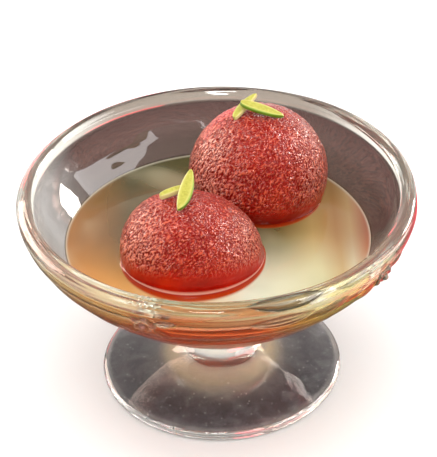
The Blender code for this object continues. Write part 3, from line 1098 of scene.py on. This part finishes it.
def foot_cast(material, place):
    """The foot's tint is painted too: painted shade in its middle, clear and cream round the stem as a
    painted glare, and pale at its rounded edge as a painted highlight, with smears.
    """
    flat = add_node(material, "VectorMath", TIMES, {1: (1.0, 1.0, 0.0)}, {0: place})
    radius = add_node(material, "VectorMath", {"operation": "LENGTH"}, links={0: flat})
    reach = add_node(
        material, "MapRange", None, {"From Min": 0.0, "From Max": FOOT_RADIUS}, {"Value": radius}
    )
    # Painted glare round the stem, painted shade further out and a painted highlight at the rounded edge
    foot = add_node(
        material,
        "ValToRGB",
        links={"Fac": reach},
        stops=(
            (0.26, "#FFFFFF"),
            (0.40, "#FFF2CC"),
            (0.53, "#A8A6A6"),
            (0.70, "#888688"),
            (0.93, "#908E90"),
            (0.955, "#D4D4D2"),
        ),
    )
    smears = add_node(
        material,
        "TexNoise",
        None,
        {"Scale": 1 / SMEAR_SIZE, "Detail": 3.0, "Roughness": 0.5, "Distortion": 0.5},
        {"Vector": place},
    )
    smeared = add_node(
        material, "MapRange", EASED, {"From Min": 0.44, "From Max": 0.70, "To Max": 0.34}, {"Value": smears}
    )
    return add_node(material, "Mix", COLOURS, {"B": linear("#D8D8DA")}, {"Factor": smeared, "A": foot})


def pressed_soda_lime_glass():
    """Soda-lime glass, pressed in a mould and fire-polished: thick, with bright edges, shade and
    reflections painted into its tint.
    """
    material, shader, _ = new_material("pressed_soda_lime_glass")
    fill_in(material, shader, {"Transmission Weight": 0.94, "IOR": 1.52, "Roughness": 0.015})
    place = add_node(material, "TexCoord").outputs["Object"]
    split = add_node(material, "SeparateXYZ", links={"Vector": place})
    x, y, z = (split.outputs[axis] for axis in "XYZ")
    leftwards = add_node(
        material, "MapRange", EASED, {"From Min": -0.014, "From Max": -0.032}, {"Value": x}
    )
    rightwards = add_node(
        material, "MapRange", EASED, {"From Min": 0.010, "From Max": 0.032}, {"Value": x}
    )
    bowl = bowl_cast(material, x, y, z, leftwards, rightwards)
    lip = lip_cast(material, y, leftwards, rightwards)
    at_lip = add_node(material, "MapRange", EASED, {"From Min": 0.0636, "From Max": 0.0652}, {"Value": z})
    above = add_node(material, "Mix", COLOURS, links={"Factor": at_lip, "A": bowl, "B": lip})
    pressed = ornament_cast(material, x, above)
    foot = foot_cast(material, place)
    low = add_node(material, "MapRange", EASED, {"From Min": 0.022, "From Max": 0.016}, {"Value": z})
    cast = add_node(material, "Mix", COLOURS, links={"Factor": low, "A": pressed, "B": foot})
    # Fine bubbles and specks in the foot, about 0.4 mm across and 2.4 mm apart
    seeds = add_node(
        material, "TexVoronoi", None, {"Scale": 1 / SPECK_SPACING, "Randomness": 1.0}, {"Vector": place}
    )
    speck = add_node(
        material, "MapRange", None, {"From Min": 0.150, "From Max": 0.080}, {"Value": seeds}
    )
    in_foot = add_node(material, "Math", TIMES, links={0: speck, 1: low})
    specked = add_node(
        material, "Mix", COLOURS, {"B": linear("#FFFFFF")}, {"Factor": in_foot, "A": cast}
    )
    fill_in(material, shader, links={"Base Color": specked})
    return material


# Syrup's finish


def syrup_colour(material, place, x, y):
    """Partly the syrup's own gold, partly painted light: amber at the left, olive-grey painted shade at the
    back and a pale straw painted glow in the middle, faintly clouded.
    """
    across = add_node(material, "MapRange", None, {"From Min": -0.045, "From Max": 0.045}, {"Value": x})
    near = add_node(
        material,
        "ValToRGB",
        links={"Fac": across},
        stops=(
            (0.0, "#FCAC54"),
            (0.3, "#FCBC66"),
            (0.58, "#FFFFE4"),
            (0.84, "#FFFCC8"),
            (0.91, "#F0D498"),
            (0.95, "#FFF6D0"),
            (1.0, "#F09858"),
        ),
    )
    far = add_node(
        material,
        "ValToRGB",
        links={"Fac": across},
        stops=(
            (0.0, "#BC8450"),
            (0.2, "#6C664C"),
            (0.5, "#686238"),
            (0.70, "#787040"),
            (0.82, "#C8B070"),
            (0.90, "#B88C58"),
            (0.95, "#CCA878"),
            (1.0, "#BC7458"),
        ),
    )
    # The syrup is painted darker towards the back, a painted shade
    depth = add_node(material, "MapRange", EASED, {"From Min": -0.028, "From Max": 0.006}, {"Value": y})
    surface = add_node(material, "Mix", COLOURS, links={"Factor": depth, "A": near, "B": far})
    clouds = add_node(
        material,
        "TexNoise",
        None,
        {"Scale": 1 / CLOUD_SIZE, "Detail": 1.5, "Roughness": 0.5, "Distortion": 0.2},
        {"Vector": place},
    )
    pale = add_node(
        material, "MapRange", EASED, {"From Min": 0.48, "From Max": 0.70, "To Max": 0.35}, {"Value": clouds}
    )
    lighter = add_node(
        material, "Mix", COLOURS, {"B": linear("#FFF4CC")}, {"Factor": pale, "A": surface}
    )
    dark = add_node(
        material, "MapRange", EASED, {"From Min": 0.50, "From Max": 0.30, "To Max": 0.16}, {"Value": clouds}
    )
    return add_node(material, "Mix", COLOURS, {"B": linear("#8C7440")}, {"Factor": dark, "A": lighter})


def reduced_sugar_syrup():
    """White sugar boiled down with cardamom and saffron: golden, thick and faintly cloudy."""
    material, shader, output = new_material("reduced_sugar_syrup")
    fill_in(material, shader, {"Transmission Weight": 0.5, "IOR": 1.44, "Roughness": 0.02})
    place = add_node(material, "TexCoord").outputs["Object"]
    split = add_node(material, "SeparateXYZ", links={"Vector": place})
    x, y, z = (split.outputs[axis] for axis in "XYZ")
    clouded = syrup_colour(material, place, x, y)
    # Painted highlight: a pale line along the shore, where the syrup climbs the glass
    shore = add_node(material, "Attribute", {"attribute_name": "beside_wall"}).outputs["Fac"]
    shore_highlight = add_node(
        material, "MapRange", EASED, {"From Min": 0.30, "From Max": 0.75, "To Max": 0.7}, {"Value": shore}
    )
    shore_highlighted = add_node(
        material, "Mix", COLOURS, {"B": linear("#FFF6DC")}, {"Factor": shore_highlight, "A": clouded}
    )
    # Lower down, the red of the sweets seen through the syrup is painted in
    deep = add_node(material, "MapRange", EASED, {"From Min": 0.0475, "From Max": 0.040}, {"Value": z})
    tint = add_node(material, "Mix", COLOURS, {"B": linear("#F0602A")}, {"Factor": deep, "A": shore_highlighted})
    # Beside a sweet its red side is painted in as if showing through, under a painted pale highlight where
    # the syrup climbs it
    beside = add_node(material, "Attribute", {"attribute_name": "beside_sweet"}).outputs["Fac"]
    ring = add_node(
        material,
        "ValToRGB",
        links={"Fac": beside},
        stops=(
            (0.30, "#E08040"),
            (0.45, "#C84818"),
            (0.76, "#B82C0C"),
            (0.82, "#F8B8A0"),
            (0.90, "#F0A088"),
            (0.96, "#D06048"),
        ),
    )
    share = add_node(material, "MapRange", EASED, {"From Min": 0.30, "From Max": 0.48}, {"Value": beside})
    reddened = add_node(material, "Mix", COLOURS, links={"Factor": share, "A": tint, "B": ring})
    fill_in(material, shader, links={"Base Color": reddened})
    absorption = add_node(
        material, "VolumeAbsorption", None, {"Color": linear("#F8E6A8"), "Density": 2.4}
    )
    fill_in(material, output, links={"Volume": absorption})
    return material


# Skin's finish


def skin_strokes(material, place):
    """Short raised strokes about 0.4 mm wide and 0.8 mm apart.

    They slant up to the right, and are longer that way than across.
    """
    slanted = add_node(
        material,
        "Mapping",
        {"vector_type": "TEXTURE"},
        {"Rotation": (0.0, math.radians(STROKE_SLANT_DEG), 0.0), "Scale": (1.0, 1.0, STROKE_LENGTHENING)},
        {"Vector": place},
    )
    return add_node(
        material,
        "TexNoise",
        None,
        {"Scale": 1 / STROKE_SIZE, "Detail": 1.0, "Roughness": 0.4, "Distortion": 0.5},
        {"Vector": slanted},
    )


def skin_sideways(material, generated):
    """How far out to the left or right of a sweet's middle."""
    split = add_node(material, "SeparateXYZ", links={"Vector": generated})
    middle = add_node(
        material, "Math", {"operation": "SUBTRACT"}, {1: SKIN_MIDDLE}, {0: split.outputs["X"]}
    )
    return add_node(material, "Math", {"operation": "ABSOLUTE"}, links={0: middle})


def skin_colour(material, body, strokes, dryness, raised, sideways):
    """Deep red, with painted shade between the wrinkles and painted salmon highlights on their crests. It
    also gives the hollows.
    """
    # Between them the skin lies in shade and reflects little, most of all on the flanks
    flankwards = {"From Min": 0.10, "From Max": 0.42}
    how_deep = add_node(
        material, "MapRange", EASED, {**flankwards, "To Min": 0.55, "To Max": 0.85}, {"Value": sideways}
    )
    pit = add_node(
        material,
        "MapRange",
        EASED,
        {"From Min": 0.48, "From Max": 0.36},
        {"Value": strokes, "To Max": how_deep},
    )
    hollow = add_node(material, "Math", TIMES, links={0: dryness, 1: pit})
    shaded = add_node(material, "Mix", COLOURS, {"B": linear("#600602")}, {"Factor": hollow, "A": body})
    # Painted highlight: their crests are painted paler, most of all on the flanks
    how_pale = add_node(
        material, "MapRange", EASED, {**flankwards, "To Min": 0.36, "To Max": 0.66}, {"Value": sideways}
    )
    crest = add_node(
        material,
        "MapRange",
        EASED,
        {"From Min": 0.53, "From Max": 0.65},
        {"Value": strokes, "To Max": how_pale},
    )
    crest_highlight = add_node(material, "Math", TIMES, links={0: dryness, 1: crest})
    highlighted = add_node(material, "Mix", COLOURS, {"B": linear("#F87C58")}, {"Factor": crest_highlight, "A": shaded})
    # Painted sheen: on both flanks the raised crests are painted salmon
    side = add_node(
        material,
        "MapRange",
        EASED,
        {"From Min": 0.14, "From Max": 0.46, "To Max": 0.74},
        {"Value": sideways},
    )
    flank = add_node(material, "Math", TIMES, links={0: side, 1: raised})
    flank_sheen = add_node(material, "Mix", COLOURS, {"B": linear("#E88C74")}, {"Factor": flank, "A": highlighted})
    return flank_sheen, hollow


def soaked_fried_khoya():
    """Milk dough fried to a thin red-brown skin, then soaked: finely wrinkled, wet and glossy."""
    material, shader, _ = new_material("soaked_fried_khoya")
    surface = {
        "Roughness": 0.30,
        "IOR": 1.40,
        "Specular Tint": linear("#FFD8B8"),
        "Specular IOR Level": 0.2,
        "Coat Roughness": 0.04,
        "Coat IOR": 1.5,
        "Subsurface Weight": 0.08,
        "Subsurface Radius": (1.0, 0.12, 0.06),
        "Subsurface Scale": 0.0008,
    }
    fill_in(material, shader, surface)
    places = add_node(material, "TexCoord")
    strokes = skin_strokes(material, places.outputs["Object"])
    crown = add_node(
        material, "MapRange", EASED, {"From Min": 0.36, "From Max": 0.66}, {"Value": strokes}
    )
    # Low down, a film of syrup levels them out
    dryness = add_node(material, "Attribute", {"attribute_name": "dryness"}).outputs["Fac"]
    raised = add_node(material, "Math", TIMES, links={0: crown, 1: dryness})
    mottling = add_node(
        material,
        "TexNoise",
        None,
        {"Scale": 1 / MOTTLING_SIZE, "Detail": 3.0, "Roughness": 0.55},
        {"Vector": places.outputs["Object"]},
    )
    body = add_node(
        material,
        "ValToRGB",
        links={"Fac": mottling},
        stops=((0.3, "#920400"), (0.55, "#A80C00"), (0.75, "#B61C00")),
    )
    sideways = skin_sideways(material, places.outputs["Generated"])
    colour, hollow = skin_colour(material, body, strokes, dryness, raised, sideways)
    # The film mirrors most on the crests, less in the hollows and where it lies thick, low down
    wet = add_node(
        material,
        "MapRange",
        None,
        {"From Min": 0.0, "From Max": 1.0, "To Min": 0.4, "To Max": 1.0},
        {"Value": dryness},
    )
    film = add_node(
        material, "Math", {"operation": "SUBTRACT", "use_clamp": True}, links={0: wet, 1: hollow}
    )
    relief = add_node(
        material, "Bump", None, {"Strength": 1.0, "Distance": STROKE_RELIEF}, {"Height": raised}
    )
    fill_in(
        material,
        shader,
        links={"Base Color": colour, "Coat Weight": film, "Normal": relief, "Coat Normal": relief},
    )
    return material


# Pistachio's finish


def sliced_pistachio_kernel():
    """Blanched pistachio cut lengthwise: yellow-green flesh, greener along the outer skin."""
    material, shader, _ = new_material("sliced_pistachio_kernel")
    surface = {
        "Roughness": 0.42,
        "IOR": 1.46,
        "Subsurface Weight": 0.2,
        "Subsurface Radius": (0.6, 0.7, 0.2),
        "Subsurface Scale": 0.0006,
    }
    fill_in(material, shader, surface)
    fibres = add_node(
        material,
        "TexNoise",
        None,
        {"Scale": 1 / FIBRE_SIZE, "Detail": 5.0, "Roughness": 0.6},
        {"Vector": add_node(material, "TexCoord").outputs["Object"]},
    )
    cut = add_node(
        material,
        "ValToRGB",
        links={"Fac": fibres},
        stops=((0.35, "#A09A38"), (0.5, "#AEA842"), (0.65, "#BAB452")),
    )
    # Paler towards its cut edges, with a green rind along one of them
    rind = add_node(material, "Attribute", {"attribute_name": "rind"}).outputs["Fac"]
    across = add_node(material, "MapRange", None, {"From Min": -1.0, "From Max": 1.0}, {"Value": rind})
    edges = add_node(
        material,
        "ValToRGB",
        links={"Fac": across},
        stops=(
            (0.0, "#DCD08C"),
            (0.14, "#BCB458"),
            (0.5, "#B0AA44"),
            (0.84, "#C4BC64"),
            (0.93, "#8CA030"),
            (1.0, "#648418"),
        ),
    )
    from_middle = add_node(material, "Math", {"operation": "ABSOLUTE"}, links={0: rind})
    near_edge = add_node(
        material, "MapRange", None, {"From Min": 0.35, "From Max": 0.75}, {"Value": from_middle}
    )
    flesh = add_node(material, "Mix", COLOURS, links={"Factor": near_edge, "A": cut, "B": edges})
    relief = add_node(
        material, "Bump", None, {"Strength": 0.4, "Distance": FIBRE_RELIEF}, {"Height": fibres}
    )
    fill_in(material, shader, links={"Base Color": flesh, "Normal": relief})
    return material


# Studio


def build_air():
    """Bright walls near the horizon, a dim ceiling and a dim side behind the camera."""
    world = bpy.data.worlds.new("studio_air")
    bpy.context.scene.world = world
    world.use_nodes = True
    way = add_node(world, "TexCoord").outputs["Generated"]
    split = add_node(world, "SeparateXYZ", links={"Vector": way})
    height = add_node(
        world,
        "ValToRGB",
        links={"Fac": split.outputs["Z"]},
        stops=((0.0, "#F8F6F2"), (0.4, "#E0DCD8"), (0.8, "#A0A0A0"), (1.0, "#888888")),
    )
    forward = add_node(
        world,
        "MapRange",
        EASED,
        {"From Min": -0.95, "From Max": -0.30, "To Min": 0.15, "To Max": 1.2},
        {"Value": split.outputs["Y"]},
    )
    air = world.node_tree.nodes["Background"]
    fill_in(world, air, links={"Color": height, "Strength": forward})


def lay_sheet(name, material_name, half_size, colour, roughness):
    """A level square sheet of the set."""
    bm = bmesh.new()
    bmesh.ops.create_grid(bm, x_segments=1, y_segments=1, size=half_size)
    mesh = mesh_from(bm, name)
    material, shader, _ = new_material(material_name)
    fill_in(material, shader, {"Base Color": linear(colour), "Roughness": roughness})
    mesh.materials.append(material)
    sheet = put_in_scene(name, mesh)
    return sheet


def build_table():
    table = lay_sheet("studio_table", "matte_paper", TABLE_HALF_SIZE, "#F1F0EE", 0.9)
    table.location.z = TABLE_LEVEL
    # The glass was shot over something dark with something red at its right, which only the
    # outside of the glass mirrors
    for name, middle, half_sizes, level, colour in CLOTHS:
        cloth = lay_sheet(name, name, 1.0, colour, 1.0)
        cloth.location = (*middle, level)
        cloth.scale = (*half_sizes, 1.0)
        cloth.visible_camera = False
        cloth.visible_diffuse = False
        cloth.visible_transmission = False
        cloth.visible_shadow = False


def build_lamps():
    for name, azimuth, elevation, distance, size, radiance, colour in LAMPS:
        lamp = bpy.data.lights.new(name, "AREA")
        lamp.shape = "RECTANGLE"
        lamp.size, lamp.size_y = size
        lamp.energy = radiance * math.pi * size[0] * size[1]
        lamp.color = linear(colour)[:3]
        item = put_in_scene(name, lamp)
        turn, lift = math.radians(azimuth), math.radians(elevation)
        way = Vector((math.cos(turn) * math.cos(lift), math.sin(turn) * math.cos(lift), math.sin(lift)))
        item.location = way * distance + Vector(LAMPS_AIM)
        item.rotation_euler = way.to_track_quat("Z", "Y").to_euler()
        item.visible_camera = False
        # The soft ones only light; the others only mirror, or the wet skin would turn white
        item.visible_glossy = not name.startswith("soft")
        item.visible_diffuse = name.startswith("soft")


def build_camera():
    elevation = math.radians(CAMERA_ELEVATION_DEG)
    roll = math.radians(CAMERA_ROLL_DEG)
    back = Vector((0.0, -math.cos(elevation), math.sin(elevation)))
    right = Vector((1.0, 0.0, 0.0))
    up = Vector((0.0, math.sin(elevation), math.cos(elevation)))
    x = right * math.cos(roll) + up * math.sin(roll)
    y = -right * math.sin(roll) + up * math.cos(roll)
    lens = bpy.data.cameras.new("camera")
    lens.lens = CAMERA_LENS
    lens.sensor_width = CAMERA_SENSOR
    lens.clip_start = CAMERA_NEAREST
    camera = put_in_scene("camera", lens)
    turn = Matrix((x, y, back)).transposed().to_4x4()
    camera.matrix_world = Matrix.Translation(Vector(CAMERA_TARGET) + back * CAMERA_DISTANCE) @ turn
    bpy.context.scene.camera = camera


def set_light_paths():
    """Enough bounces for light to pass through the bowl, the syrup and the foot behind them."""
    bpy.context.scene.view_settings.view_transform = "Standard"
    cycles = bpy.context.scene.cycles
    cycles.max_bounces = 40
    cycles.transmission_bounces = 40
    cycles.glossy_bounces = 12


def main():
    build_camera()
    build_air()
    build_table()
    build_lamps()
    set_light_paths()
    build_dish(pressed_soda_lime_glass())
    syrup = build_syrup(reduced_sugar_syrup())
    cut_for_sweets(syrup)
    mark_shores(syrup.data)
    skin = soaked_fried_khoya()
    # Without a seed, the noise that bends the wrinkles would take its offsets from the clock
    noise.seed_set(WRINKLE_SEED)
    build_jamun("front_sweet", "gulab_jamun_front", FRONT_JAMUN, skin)
    build_jamun("back_sweet", "gulab_jamun_back", BACK_JAMUN, skin)
    kernel = sliced_pistachio_kernel()
    for name, shape in SLIVERS.items():
        build_sliver(name, shape, kernel)


main()
